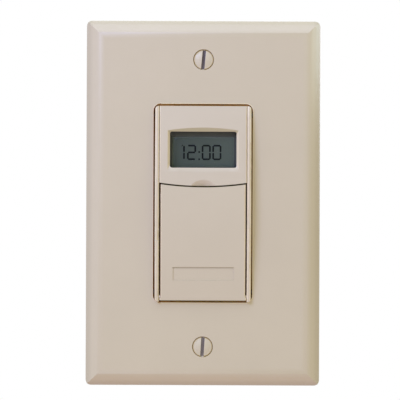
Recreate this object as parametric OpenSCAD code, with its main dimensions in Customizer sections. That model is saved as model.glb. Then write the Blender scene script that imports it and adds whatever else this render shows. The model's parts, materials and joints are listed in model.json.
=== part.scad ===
// Timer light switch with its wall plate, in millimetres.
// X is right, Y goes into the wall, Z is up. The origin is the plate's middle on the wall's face.

/* [Wall plate] */
// Width of the plate
plate_w = 79.4; // [78:0.2:86]
// Height of the plate
plate_h = 123.8; // [121:0.2:132]
// Depth from the wall to the plate's front face
plate_depth = 6; // [5.8:0.1:6.6]
// Wall thickness of the plate
plate_wall = 2; // [1.7:0.1:2.1]
// Radius of the plate's corners, seen from the front
plate_corner = 2; // [1:0.5:4]
// Width of the flat bevel around the plate
bevel_w = 2.7; // [2:0.1:3.4]
// Slope of the bevel
bevel_slope = 38; // [30:1:42]
// Radius that blends the bevel into the front face
bevel_round = 6.5; // [4:0.5:8]
// Width of the bevel's outermost strip, which rolls over at the rim
rim_w = 1.8; // [1.2:0.1:2]
// Slope that the bevel reaches at the rim
rim_slope = 60; // [50:1:62]
// Width of the opening for the switch
opening_w = 33.4; // [33.2:0.1:33.9]
// Height of the opening for the switch
opening_h = 67; // [66.8:0.1:67.4]

/* [Switch face] */
// Radius of the face's crown from top to bottom
crown_r = 270; // [230:10:400]
// How far the middle of the face stands in front of the plate
proud = 3.3; // [3.1:0.1:3.8]
// Width of each side rail
rail_w = 1.45; // [1.4:0.05:1.6]
// Gap between the door and the rails
door_gap = 0.45; // [0.35:0.05:0.55]
// Thickness of the door
door_t = 1.8; // [1.6:0.1:1.9]
// Height of the door's top edge, at its middle, above the plate's middle
door_top = 5.3; // [4.8:0.1:5.6]
// Radius of the door's top edge
door_arc_r = 100; // [80:5:160]

/* [Display] */
// Width of the window
window_w = 22.4; // [20:0.2:22.4]
// Height of the window
window_h = 12.2; // [10.6:0.2:12.6]
// Height of the window's middle above the plate's middle
window_z = 18; // [17.8:0.1:18.2]

/* [Controls] */
// Travel of the on/off bar and the closed door
press_travel = 0.6; // [0.4:0.1:0.6]
// Travel of the small buttons
button_travel = 0.5; // [0.3:0.1:0.6]
// Distance between the small buttons
button_pitch = 9; // [8.6:0.1:9.2]
// Width of the on/off bar
bar_w = 21; // [16:0.5:22]

/* [Fixings] */
// Distance between the plate screws
plate_pitch = 96.84; // [96.6:0.02:97]
// Distance between the box screws
box_pitch = 83.34; // [83:0.02:83.6]
// Length of the box screws behind the strap
box_screw_l = 19; // [12:1:24]

/* [Body] */
// Width of the rear housing
body_w = 44; // [44:0.2:45]
// Height of the rear housing
body_h = 68; // [68:0.2:69]
// Depth of the rear housing behind the strap
body_depth = 31; // [31:0.5:36]
// Wall thickness of the rear housing
body_wall = 1.8; // [1.4:0.1:1.8]
// Thickness of the strap
strap_t = 1.3; // [1.1:0.05:1.4]
// Height of the strap
strap_h = 105.6; // [105:0.2:108]

/* [Hidden] */
$fn = 64;
// clearances: sliding fit, resting fit
slip = 0.15;
seat = 0.02;
// how far joined shapes run into each other, and how far a cut runs past its piece
join = 0.2;
past = 1;

// wall plate
opening_corner = 2.4;
bead_w = 1.3;
bead_t = 0.3;
boss_r = 3.1;
rib_l = 12;
rib_t = 1.2;
rib_pitch = 22;
rib_edge = 3;
rib_gap = 2.4;

// switch face: gaps to the plate, outline, crown, door pocket
gap_side = 0.5;
gap_top = 0.8;
gap_low = 0.3;
face_w = opening_w - 2 * gap_side;
face_top = opening_h / 2 - gap_top;
face_low = gap_low - opening_h / 2;
face_corner = 1.2;
crown_y = -plate_depth - proud;
crown_c = crown_y + crown_r;
base_inset = 0.9;
rail_round = 0.6;
bezel_round = 0.35;
bezel_gap = 0.1;
door_round = 0.45;
pocket_x = face_w / 2 - rail_w;
door_x = pocket_x - door_gap;
door_low = face_low + 0.5;
arc_z = door_top + door_arc_r;
arc_gap = 0.5;
scoop_r = 5.5;
scoop_drop = 2.8;
scoop_depth = 1.3;
scoop_slope = 1.7;
room_x = 14.3;

// depths of the layers, from the front
lens_y = -6.5;
deck_y = -4.8;
deck_back = -2.6;
trough_y = -3.8;
bar_y = -6.6;
key_y = -6.2;
plunger_y = -1.7;
switch_y = -0.7;
board_y = 2.8;
board_t = 1.6;
power_y = 14;
power_back = power_y + board_t;
flange_y = -3.2;
screw_seat = flange_y + 1;

// hinge of the door
pin_z = door_low + 1.1;
pin_y = -6.2;
pin_r = 0.7;
pin_gap = 0.1;
pin_l = 0.75;
slot_l = 0.9;

// door: side lips, push pad, bare badge recess
lip_t = 1;
lip_y = -5.7;
pad_w = 12;
pad_h = 4;
pad_gap = 0.1;
foot_w = 2 * (pocket_x - pin_gap);
foot_h = 0.95;
badge_w = 20.5;
badge_h = 4.5;
badge_z = -23.7;
badge_depth = 0.25;

// display stack
lens_t = 1;
lens_step = 0.6;
lens_rim = 1.4;
lens_gap = 0.1;
film_t = 0.2;
glass_t = 0.9;
glass_w = 27;
glass_h = 18;
rear_glass_h = 15;
film_y = lens_y + lens_t + lens_gap;
glass_y = film_y + film_t;
rear_glass_y = glass_y + glass_t;
reflector_y = rear_glass_y + glass_t;
holder_wall = 0.6;
strip_w = 25;
strip_h = 1.2;
strip_z = 8.3;

// controls
row_z = -0.5;
key_w = 6.2;
key_h = 4.6;
key_r = 2.2;
key_lip = 0.8;
sign_w = 2.4;
sign_t = 0.6;
sign_depth = 0.2;
bar_z = -11.5;
bar_h = 7.4;
bar_r = 1.6;
reset_x = bar_w / 2 + 0.7;
reset_z = -19.4;
reset_r = 1.1;
switch_w = 6;
plunger_r = 1.6;
plunger_in = 0.8;
reset_rise = 1.2;

// backup cell, its drawer and guide
cell_r = 10;
cell_h = 3.2;
cap_h = 0.4;
cell_y = 8.6;
cell_low = -1.8;
drawer_wall = 1.2;
drawer_w = 2 * (cell_r + drawer_wall);
drawer_h = 6.2;
drawer_z = -26.6;
drawer_back = cell_y + cell_r + drawer_wall;
grip_w = 10;
grip_h = 1.4;
guide_wall = 1.4;
guide_y = 0.6;
guide_back = drawer_back + drawer_wall + 0.4;
leaf_w = 4;
leaf_t = 0.3;

// screws
cone = tan(41);
sink_r = 3.5;
sink_step = 0.5;
head_r = 3.28;
plate_hole_r = 1.95;
plate_shank_r = 1.7;
slot_w = 1.1;
box_head_r = 3.4;
box_shank_r = 1.75;
post_r = 2.7;
post_hole_r = 1.25;
post_x = body_w / 2 - 3.4;
post_z = body_h / 2 - 4;
housing_hole_r = 1.5;
housing_head_r = 2;
housing_shank_r = 1.2;
housing_screw_l = 11.4;

// strap ears
strap_neck = 25;
ear_x = 15.6;
ear_z = 45.4;
ear_r = 5.6;
ear_hole_r = 2;

// boards
board_x = body_w / 2 - 3;
power_x = body_w / 2 - 4.5;
board_top = body_h / 2 - 8.5;
board_low = 12.5 - body_h / 2;
tab_x = post_x - post_r - 1.9;
tab_top = body_h / 2 - 3;
link_w = 12.7;
link_h = 2.6;
link_z = -18.2;

// leads, and the rear housing that they leave
lead_z = body_h / 2 - 7.5;
lead_pitch = 8;
lead_r = 1.7;
collar_r = 2.8;
collar_h = 1.6;
body_corner = 3;
body_chamfer = 1.6;
ledge_w = 2;
foot_x = 8;

// An outline seen from the front, between two depths
module slab(y0, y1) {
    translate([0, y1, 0])
        rotate([90, 0, 0])
            linear_extrude(y1 - y0)
                children();
}

// A side profile of [y, z], between two widths
module profile(x0, x1) {
    translate([x0, 0, 0])
        rotate([90, 0, 90])
            linear_extrude(x1 - x0)
                children();
}

// A round bar or cone along Y
module rod(r, y0, y1, r1 = 0) {
    translate([0, y0, 0])
        rotate([-90, 0, 0])
            cylinder(r1 = r, r2 = r1 > 0 ? r1 : r, h = y1 - y0);
}

// A box from its lowest to its highest corner
module block(a, b) {
    translate(a)
        cube(b - a);
}

module rect(w, h, r) {
    square([w - 2 * r, h], center = true);
    square([w, h - 2 * r], center = true);
    for (x = [-1, 1], z = [-1, 1])
        translate([x * (w / 2 - r), z * (h / 2 - r)])
            circle(r);
}

module at(x, z) {
    translate([x, 0, z])
        children();
}

// Everything behind the crowned face, set back by an inset
module crown(inset) {
    translate([0, crown_c, 0])
        rotate([0, 90, 0])
            cylinder(r = crown_r - inset, h = 80, center = true, $fn = 720);
}

// Sweeps a section of [radius, x] along the crown
module crown_sweep() {
    translate([0, crown_c, 0])
        rotate([0, 90, 0])
            rotate([0, 0, -98])
                rotate_extrude(angle = 16, $fn = 720)
                    children();
}

// A strip that follows the crown, with rounded front edges
module crown_strip(x0, x1, depth, r) {
    crown_sweep() {
        translate([crown_r - depth, x0])
            square([depth - r, x1 - x0]);
        translate([crown_r - depth, x0 + r])
            square([depth, x1 - x0 - 2 * r]);
        for (x = [x0 + r, x1 - r])
            translate([crown_r - r, x])
                circle(r, $fn = 32);
    }
}

// Half the plate's section, from its middle to its edge: flat front, round, bevel, rolled rim, upright edge
module plate_half(inset) {
    drop = bevel_w * tan(bevel_slope) + bevel_round * (1 - cos(bevel_slope));
    edge = plate_depth - drop - inset * (1 - sin(bevel_slope)) / cos(bevel_slope);
    start = bevel_w + bevel_round * sin(bevel_slope);
    front = inset - plate_depth;
    r = bevel_round - inset;
    back = inset > 0 ? 1 : 0;
    difference() {
        polygon([[-start - 20, front], [r * tan(bevel_slope / 2) - start, front], [-inset, -edge],
            [-inset, back], [-start - 20, back]]);
        difference() {
            translate([-start, front - 1])
                square([r * sin(bevel_slope), r * (1 - cos(bevel_slope)) + 1]);
            translate([-start, front + r])
                circle(r + 0.004, $fn = 128);
        }
        if (inset == 0)
            rim_cut(edge);
    }
}

// What the rolled rim takes off the bevel beside an upright edge of a height
module rim_cut(edge) {
    roll_r = rim_w / (sin(rim_slope) - sin(bevel_slope));
    start = -edge - rim_w * tan(bevel_slope);
    difference() {
        translate([-rim_w, start - 1])
            square([rim_w + 1, 1.5 - start]);
        translate([-rim_w - roll_r * sin(bevel_slope), start + roll_r * cos(bevel_slope)])
            circle(roll_r + 0.004, $fn = 128);
    }
}

// The plate's section across its width or height
module plate_section(size, inset) {
    translate([size / 2, 0])
        plate_half(inset);
    translate([-size / 2, 0])
        mirror([1, 0])
            plate_half(inset);
    translate([-size / 2 + 20, inset - plate_depth])
        square([size - 40, plate_depth - inset + (inset > 0 ? 1 : 0)]);
}

module plate_form(inset) {
    intersection() {
        translate([0, 0, -plate_h])
            linear_extrude(2 * plate_h)
                plate_section(plate_w, inset);
        translate([-plate_w, 0, 0])
            rotate([90, 0, 90])
                linear_extrude(2 * plate_w)
                    rotate(90)
                        mirror([0, 1])
                            plate_section(plate_h, inset);
    }
}

module wall_plate() {
    back = plate_wall - plate_depth;
    sink_depth = (sink_r - plate_shank_r - join) / cone;
    color("#cdc1b4")
        difference() {
            union() {
                difference() {
                    intersection() {
                        plate_form(0);
                        slab(-plate_depth - past, 0)
                            rect(plate_w, plate_h, plate_corner);
                    }
                    plate_form(plate_wall);
                }
                // bead around the opening, bosses around the screws, ribs to the sides
                slab(back - join, back + bead_t)
                    rect(opening_w + 2 * bead_w, opening_h + 2 * bead_w, opening_corner + bead_w);
                for (s = [-1, 1])
                    at(0, s * plate_pitch / 2)
                        rod(boss_r, back - join, -strap_t - 0.3);
                for (s = [-1, 1], i = [-2:2])
                    translate([s * (plate_w / 2 - rib_edge - rib_l / 2), 0, i * rib_pitch])
                        block([-rib_l / 2, back - join, -rib_t / 2], [rib_l / 2, -rib_gap, rib_t / 2]);
            }
            slab(-plate_depth - past, past)
                rect(opening_w, opening_h, opening_corner);
            for (s = [-1, 1])
                at(0, s * plate_pitch / 2) {
                    rod(plate_hole_r, -plate_depth - past, past);
                    rod(sink_r, -plate_depth - past, sink_step - plate_depth);
                    rod(sink_r, sink_step - plate_depth - seat, sink_step + sink_depth - plate_depth,
                        plate_shank_r + join);
                }
        }
}

module plate_screw(lean) {
    rim_y = sink_step - plate_depth + (sink_r - head_r) / cone - 2 * seat;
    rim = 0.55;
    dome = 0.7;
    dome_w = head_r - 0.05;
    dome_r = (dome_w * dome_w + dome * dome) / 2 / dome;
    tip_y = plate_shank_r * 3;
    difference() {
        union() {
            rod(head_r, rim_y, rim_y + (head_r - plate_shank_r) / cone, plate_shank_r);
            rod(head_r, rim_y - rim, rim_y);
            rod(plate_shank_r, rim_y + 1, tip_y);
            rod(plate_shank_r, tip_y, tip_y + 1, plate_shank_r - 0.7);
            intersection() {
                translate([0, rim_y - rim + join / 2 - dome + dome_r, 0])
                    sphere(dome_r, $fn = 128);
                rod(head_r + past, rim_y - rim - dome - past, rim_y - rim + join / 2);
            }
        }
        rotate([0, lean, 0])
            block([-slot_w / 2, rim_y - rim - dome - past, -head_r - past],
                [slot_w / 2, rim_y + 0.1, head_r + past]);
    }
}

module plate_screws() {
    color("#d2c6b8") {
        at(0, plate_pitch / 2)
            plate_screw(5);
        at(0, -plate_pitch / 2)
            plate_screw(3.3);
    }
}

module strap_outline() {
    rect(body_w, body_h + 1.6, body_corner);
    rect(strap_neck, strap_h, 3);
    for (x = [-1, 1], z = [-1, 1])
        translate([x * ear_x, z * ear_z]) {
            circle(ear_r);
            translate([-x * ear_r / 2, 0])
                square([ear_r, ear_r + 1.4], center = true);
        }
}

module mounting_strap() {
    slot_r = box_shank_r + 0.35;
    slot_half = 2.5;
    color("#b9bcc0")
        slab(-strap_t, 0)
            difference() {
                strap_outline();
                square([2 * pocket_x + 2 * slip, body_h - 6], center = true);
                for (z = [-1, 1]) {
                    translate([0, z * plate_pitch / 2])
                        circle(plate_shank_r + 0.05);
                    translate([0, z * box_pitch / 2]) {
                        square([2 * slot_half, 2 * slot_r], center = true);
                        for (x = [-1, 1])
                            translate([x * slot_half, 0])
                                circle(slot_r);
                    }
                    for (x = [-1, 1]) {
                        translate([x * post_x, z * post_z])
                            circle(housing_hole_r);
                        translate([x * ear_x, z * ear_z])
                            circle(ear_hole_r);
                        // slit where the ear breaks off
                        translate([x * (strap_neck / 2 - 0.7), z * ear_z])
                            square([0.8, 2 * ear_hole_r + 0.4], center = true);
                    }
                }
            }
}

module box_screw() {
    rim = 1.2;
    dome_r = 2 * box_head_r;
    head_y = -strap_t - 2;
    difference() {
        union() {
            rod(box_head_r, -strap_t - rim, -strap_t);
            intersection() {
                translate([0, head_y + dome_r, 0])
                    sphere(dome_r, $fn = 96);
                rod(box_head_r, head_y - past, -strap_t - rim + join / 2);
            }
            rod(box_shank_r - 0.4, -strap_t - 0.5, 0.5);
            rod(box_shank_r, 0, box_screw_l);
            rod(box_shank_r, box_screw_l, box_screw_l + 1, box_shank_r - 0.75);
        }
        block([-slot_w / 2, head_y - past, -box_head_r - past],
            [slot_w / 2, -strap_t - 0.9, box_head_r + past]);
    }
}

module box_screws() {
    color("#c6c3b8")
        for (z = [-1, 1])
            at(0, z * box_pitch / 2)
                box_screw();
}

// How deep the crowned face lies at a height
function face_y(z) = crown_c - sqrt(crown_r * crown_r - z * z);

// The display's recess: sloped walls, bowed above and below the window, straight beside it
module recess() {
    top_z = window_z + window_h / 2 + 1.3;
    low_z = window_z - window_h / 2 - 1.9;
    top_r = 66;
    low_r = 73;
    half = window_w / 2 + 0.75;
    intersection() {
        at(0, top_z - top_r)
            rod(top_r + 2.9, face_y(top_z) - 2, face_y(top_z) + 1.4, top_r - 2.03, $fn = 720);
        at(0, low_z + low_r)
            rod(low_r + 2.1, face_y(low_z) - 1, face_y(low_z) + 2.4, low_r - 5.04, $fn = 720);
        crown_sweep()
            polygon([[crown_r + 1, -half - 0.8], [crown_r + 1, half + 0.8], [crown_r - 2, half - 1.6],
                [crown_r - 2, 1.6 - half]]);
    }
}

// Front housing: rails, bezel and button deck in one moulding, with a flange on the strap
module front_housing() {
    color("#d2c7bd")
        difference() {
            union() {
                intersection() {
                    slab(crown_y - past, -strap_t)
                        translate([0, (face_top + face_low) / 2])
                            rect(face_w + 2 * seat, face_top - face_low, face_corner);
                    union() {
                        intersection() {
                            crown(base_inset);
                            block([0.3 - face_w / 2, -20, -body_h], [face_w / 2 - 0.3, 0, body_h]);
                        }
                        for (s = [0, 1])
                            mirror([s, 0, 0])
                                crown_strip(pocket_x, face_w / 2, 7, rail_round);
                        crown_strip(bezel_gap - pocket_x, pocket_x - bezel_gap, 2, bezel_round);
                    }
                }
                slab(flange_y, -strap_t)
                    rect(body_w - 1, body_h - 1, 2);
            }
            // door pocket above the deck, with a trough for the door's foot
            slab(crown_y - past, deck_y)
                difference() {
                    translate([-pocket_x, -body_h])
                        square([2 * pocket_x, body_h + 10]);
                    translate([0, arc_z])
                        circle(door_arc_r - arc_gap, $fn = 720);
                }
            block([-pocket_x, crown_y - past, -body_h], [pocket_x, trough_y, pin_z + 1.5]);
            // slots for the door's pins, long enough for the press
            for (s = [-1, 1])
                translate([s * pocket_x, 0, pin_z])
                    block([-slot_l, pin_y, -pin_r - pin_gap],
                        [slot_l, pin_y + press_travel, pin_r + pin_gap]);
            for (s = [-1, 1], y = [pin_y, pin_y + press_travel])
                translate([s * pocket_x - slot_l, y, pin_z])
                    rotate([0, 90, 0])
                        cylinder(r = pin_r + pin_gap, h = 2 * slot_l);
            // display recess, window and the room behind them
            recess();
            slab(crown_y - past, 0)
                translate([0, window_z])
                    rect(window_w, window_h, 0.75);
            block([-room_x, lens_y, window_z - 10.6], [room_x, 0, window_z + 13]);
            // fingernail scoop above the door
            at(0, door_top - scoop_drop)
                rod(scoop_r + join * scoop_slope, crown_y - join, crown_y + scoop_depth,
                    scoop_r - scoop_depth * scoop_slope);
            // room behind the deck and the openings through it
            block([-room_x, deck_back, pin_z + 0.6], [room_x, 0, window_z - 10]);
            for (x = [-1, 0, 1])
                at(x * button_pitch, row_z)
                    slab(crown_y, 0)
                        rect(key_w + 2 * slip, key_h + 2 * slip, key_r);
            at(0, bar_z)
                slab(crown_y, 0)
                    rect(bar_w + 2 * slip, bar_h + 2 * slip, bar_r);
            at(reset_x, reset_z)
                rod(reset_r + slip, crown_y, 0);
            at(0, drawer_z)
                slab(crown_y, 0)
                    square([drawer_w + 2 * slip, drawer_h + 2 * slip], center = true);
            // housing screws
            for (x = [-1, 1], z = [-1, 1])
                at(x * post_x, z * post_z) {
                    rod(housing_hole_r, crown_y, 0);
                    rod(housing_head_r + join, crown_y, screw_seat);
                }
        }
}

module door() {
    color("#cbbfb3")
        difference() {
            union() {
                intersection() {
                    slab(crown_y - past, 0)
                        difference() {
                            translate([-door_x, door_low])
                                square([2 * door_x, body_h]);
                            translate([0, arc_z])
                                circle(door_arc_r, $fn = 720);
                        }
                    crown_strip(-door_x, door_x, door_t, door_round);
                }
                // foot as wide as the rails allow
                intersection() {
                    translate([-foot_w / 2, crown_y - past, door_low])
                        cube([foot_w, body_h, foot_h]);
                    crown_strip(-foot_w / 2, foot_w / 2, door_t, door_round);
                }
                // stiffening lips along the sides
                intersection() {
                    crown(door_round + slip);
                    for (s = [-1, 1])
                        translate([s * (door_x - lip_t / 2), 0, 0])
                            block([-lip_t / 2, crown_y, pin_z + 3], [lip_t / 2, lip_y, door_top - 1.3]);
                }
                // push pad over the on/off bar
                intersection() {
                    crown(door_round + slip);
                    at(0, bar_z)
                        block([-pad_w / 2, crown_y, -pad_h / 2], [pad_w / 2, bar_y - pad_gap, pad_h / 2]);
                }
                for (s = [-1, 1])
                    translate([s * door_x, pin_y, pin_z])
                        rotate([0, s * 90, 0])
                            translate([0, 0, -1])
                                cylinder(r = pin_r, h = 1 + door_gap + pin_l);
            }
            // bare recess for a badge
            difference() {
                at(join, badge_z)
                    block([-badge_w / 2, crown_y - past, -badge_h / 2], [badge_w / 2, 0, badge_h / 2]);
                crown(badge_depth);
            }
        }
}

// A key that comes through the deck, kept in by a lip behind it
module key(w, h, r, front) {
    slab(front, plunger_y)
        rect(w, h, r);
    slab(deck_back + pin_gap, plunger_y)
        rect(w + 2 * key_lip, h + 2 * key_lip, r);
}

module on_off_bar() {
    color("#e6e0d6")
        at(0, bar_z)
            key(bar_w, bar_h, bar_r, bar_y);
}

module small_button(x) {
    at(x, row_z)
        key(key_w, key_h, key_r, key_y);
}

// One stroke of a sunk sign in a button's front
module stroke(x, w, h) {
    at(x, row_z)
        block([-w / 2, key_y - past, -h / 2], [w / 2, key_y + sign_depth, h / 2]);
}

module mode_button() {
    color("#e6e0d6")
        small_button(-button_pitch);
}

module minus_button() {
    color("#e6e0d6")
        difference() {
            small_button(0);
            stroke(0, sign_w, sign_t);
        }
}

module plus_button() {
    color("#e6e0d6")
        difference() {
            small_button(button_pitch);
            stroke(button_pitch, sign_w, sign_t);
            stroke(button_pitch, sign_t, sign_w);
        }
}

module reset_button() {
    color("#8d8a86")
        at(reset_x, reset_z) {
            rod(reset_r, deck_y + 0.5, plunger_y);
            rod(reset_r + 0.7, deck_back + pin_gap, plunger_y);
        }
}

module display_lens() {
    color("#dfe6e4", 0.5)
        at(0, window_z) {
            slab(lens_y - lens_step, lens_y + lens_t / 2)
                rect(window_w - 2 * lens_gap, window_h - 2 * lens_gap, 0.65);
            slab(lens_y, lens_y + lens_t)
                square([window_w + 2 * lens_rim, window_h + 2 * lens_rim], center = true);
        }
}

// The polarizer ends below the window's top edge, so a dark band of glass shows there
module lcd_polarizer() {
    color("#57605d")
        at(0, window_z - 0.8)
            slab(film_y, glass_y)
                square([window_w - 1.6, window_h - 2.2], center = true);
}

module lcd_front_glass() {
    color("#5a625f")
        at(0, window_z)
            slab(glass_y, rear_glass_y)
                square([glass_w, glass_h], center = true);
}

module lcd_rear_glass() {
    color("#48504d")
        at(0, window_z)
            slab(rear_glass_y, reflector_y)
                square([glass_w, rear_glass_h], center = true);
}

module lcd_reflector() {
    color("#a9b0ab")
        at(0, window_z)
            slab(reflector_y, reflector_y + film_t)
                square([glass_w - 2, rear_glass_h - 1], center = true);
}

module lcd_holder() {
    color("#f2f1ec")
        at(0, window_z)
            difference() {
                slab(glass_y, board_y)
                    rect(glass_w + 2 * holder_wall, glass_h + 2 * holder_wall + 1.4, 0.8);
                slab(lens_y, reflector_y + film_t)
                    square([glass_w + join, glass_h + join], center = true);
                for (z = [-strip_z, strip_z])
                    translate([0, 0, z])
                        block([-strip_w / 2 - join, crown_y, -strip_h / 2 - 0.1],
                            [strip_w / 2 + join, board_y + past, strip_h / 2 + 0.1]);
                slab(crown_y, board_y + past)
                    square([glass_w - 6, rear_glass_h - 4], center = true);
            }
}

module rubber_strips() {
    color("#3b3b3d")
        at(0, window_z)
            for (z = [-strip_z, strip_z])
                translate([0, 0, z])
                    block([-strip_w / 2, rear_glass_y, -strip_h / 2], [strip_w / 2, board_y, strip_h / 2]);
}

module switch_body() {
    difference() {
        slab(switch_y, board_y)
            rect(switch_w, switch_w, 0.6);
        rod(plunger_r + slip, switch_y - past, switch_y + 2 * plunger_in);
    }
}

module switch_bodies() {
    color("#3a3a3c") {
        for (x = [-1, 0, 1])
            at(x * button_pitch, row_z)
                switch_body();
        at(0, bar_z)
            switch_body();
        at(reset_x, reset_z + reset_rise)
            switch_body();
    }
}

module plunger(x, z) {
    color("#c9b79c")
        at(x, z)
            rod(plunger_r, plunger_y, switch_y + plunger_in);
}

module on_off_plunger() {
    plunger(0, bar_z);
}

module mode_plunger() {
    plunger(-button_pitch, row_z);
}

module minus_plunger() {
    plunger(0, row_z);
}

module plus_plunger() {
    plunger(button_pitch, row_z);
}

module reset_plunger() {
    plunger(reset_x, reset_z + reset_rise);
}

// Drawer with a round seat for the cell, an exit slot for the leaf, and a grip edge in front
module battery_drawer() {
    exit_x = leaf_w / 2 + 1;
    color("#c9bdb0")
        at(0, drawer_z)
            difference() {
                slab(deck_y, drawer_back)
                    square([drawer_w, drawer_h], center = true);
                translate([0, cell_y, cell_low])
                    cylinder(r = cell_r + join, h = drawer_h);
                block([-exit_x, cell_y - 7, -drawer_h], [exit_x, drawer_back + past, 0]);
                block([-exit_x, cell_y, -drawer_h], [exit_x, drawer_back + past, drawer_h]);
                block([-grip_w / 2, deck_y - past, drawer_h / 2 - grip_h],
                    [grip_w / 2, deck_y + drawer_wall, drawer_h]);
            }
}

module coin_cell() {
    color("#cfd1d3")
        at(0, drawer_z)
            translate([0, cell_y, cell_low]) {
                cylinder(r = cell_r - 1.2, h = cap_h);
                translate([0, 0, cap_h])
                    cylinder(r = cell_r, h = cell_h - cap_h);
            }
}

module drawer_guide() {
    in_x = drawer_w / 2 + slip;
    in_z = drawer_h / 2 + slip;
    leaf_x = leaf_w / 2 + join;
    leaf_y = board_y + board_t;
    color("#4a4a4c")
        at(0, drawer_z)
            difference() {
                block([-in_x - guide_wall, guide_y, -in_z - guide_wall],
                    [in_x + guide_wall, guide_back, in_z + guide_wall]);
                block([-in_x, guide_y - past, -in_z], [in_x, guide_back - guide_wall, in_z]);
                block([-leaf_x, leaf_y - 0.4, 0], [leaf_x, leaf_y + 1.6, drawer_h]);
                block([-leaf_x, guide_back - 2 * guide_wall, cell_low - 0.8],
                    [leaf_x, guide_back + past, cell_low + join]);
            }
}

// Leaf from the board's rear face down onto the cell's can
module positive_contact() {
    root_y = board_y + board_t + seat;
    can_z = cell_low + cell_h;
    color("#c8a951")
        at(0, drawer_z)
            profile(-leaf_w / 2, leaf_w / 2)
                polygon([[root_y, 6.6], [root_y, can_z + 1.2], [cell_y, can_z], [cell_y + 3, can_z + 0.8],
                    [cell_y + 3, can_z + 0.8 + leaf_t], [cell_y, can_z + leaf_t],
                    [root_y + leaf_t, can_z + 1.2 + leaf_t], [root_y + leaf_t, 6.6]]);
}

// Leaf from the guide's rear wall under the cell's cap
module negative_contact() {
    tail_y = guide_back + 1;
    color("#c8a951")
        at(0, drawer_z)
            profile(-leaf_w / 2, leaf_w / 2)
                polygon([[tail_y, cell_low - 0.2], [cell_y + 4.4, cell_low - 0.6], [cell_y, cell_low],
                    [cell_y - 3, cell_low - 0.6], [cell_y - 3, cell_low - 0.6 - leaf_t],
                    [cell_y, cell_low - leaf_t], [cell_y + 4.4, cell_low - 0.6 - leaf_t],
                    [tail_y, cell_low - 0.2 - leaf_t]]);
}

// A board between the posts, with a tab up to the leads
module board_outline(half_w) {
    translate([-half_w, board_low])
        square([2 * half_w, board_top - board_low]);
    translate([-tab_x, 0])
        square([2 * tab_x, tab_top]);
}

module display_board() {
    color("#2f6b46")
        slab(board_y, board_y + board_t)
            board_outline(board_x);
}

module controller_chip() {
    chip_w = 10;
    chip_t = 1.4;
    color("#2b2b2d")
        at(0, 8)
            slab(board_y + board_t, board_y + board_t + chip_t)
                rect(chip_w, chip_w, 0.3);
}

module clock_crystal() {
    crystal_r = 1;
    color("#c9ccce")
        translate([-12, board_y + board_t + crystal_r, -6])
            rotate([0, 90, 0])
                cylinder(r = crystal_r, h = 6 * crystal_r);
}

module power_board() {
    color("#3a7350")
        slab(power_y, power_back)
            board_outline(power_x);
}

module board_link() {
    color("#2b2b2d")
        at(0, link_z)
            block([-link_w / 2, board_y + board_t, -link_h / 2], [link_w / 2, power_y, link_h / 2]);
}

// A block of [width, height, depth] on the power board's rear face, about a middle at x and z
module on_power(x, z, size) {
    at(x, z)
        block([-size[0] / 2, power_back, -size[1] / 2], [size[0] / 2, power_back + size[2], size[1] / 2]);
}

module relay() {
    size = [19, 15.5, 13];
    color("#2f5d8c")
        on_power(size[0] / 2 + 2.1 - power_x, board_top - 9 - size[1] / 2, size);
}

module film_capacitor() {
    size = [18, 8.5, 12];
    color("#c7a53a")
        on_power(size[0] / 2 + 2.5 - power_x, board_low + 1.5 + size[1] / 2, size);
}

module can_capacitor() {
    can_r = 4;
    color("#30343c")
        at(power_x - can_r - 3.5, board_low + can_r + 3)
            rod(can_r, power_back, power_back + 3 * can_r);
}

module varistor() {
    disc_r = 5;
    color("#2c6da3")
        translate([power_x - 8.9, power_back + disc_r, 3.5])
            rotate([0, 90, 0])
                cylinder(r = disc_r, h = 3.8);
}

module rectifier() {
    color("#2b2b2d")
        on_power(power_x - 6.3, board_top - 10.5, [6.4, 5, 3]);
}

module fuse() {
    fuse_r = 1.6;
    color("#b8a58a")
        translate([5 - power_x, power_back + fuse_r, -4.5])
            rotate([0, 90, 0])
                cylinder(r = fuse_r, h = 9);
}

// The three leads, side by side
module each_lead() {
    for (i = [-1:1])
        at(i * lead_pitch, lead_z)
            children();
}

module lead_terminals() {
    color("#c9ccce")
        each_lead()
            difference() {
                rod(lead_r, power_back, power_back + 6);
                rod(lead_r - 0.6, power_back + 1, power_back + 6 + past);
            }
}

// A square end with both its corners cut off at 45 degrees, as [depth, half height either way]
module chamfered(half) {
    far = 5;
    polygon([[-past, -half - far], [body_depth - body_chamfer - far, -half - far],
        [body_depth + past, body_chamfer + past - half], [body_depth + past, half - body_chamfer - past],
        [body_depth - body_chamfer - far, half + far], [-past, half + far]]);
}

// The rear housing's outer form: round corners, chamfered rear edges
module rear_form() {
    intersection() {
        slab(0, body_depth)
            rect(body_w, body_h, body_corner);
        profile(-body_w, body_w)
            chamfered(body_h / 2);
        rotate([0, -90, 0])
            profile(-body_h, body_h)
                chamfered(body_w / 2);
    }
}

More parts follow.
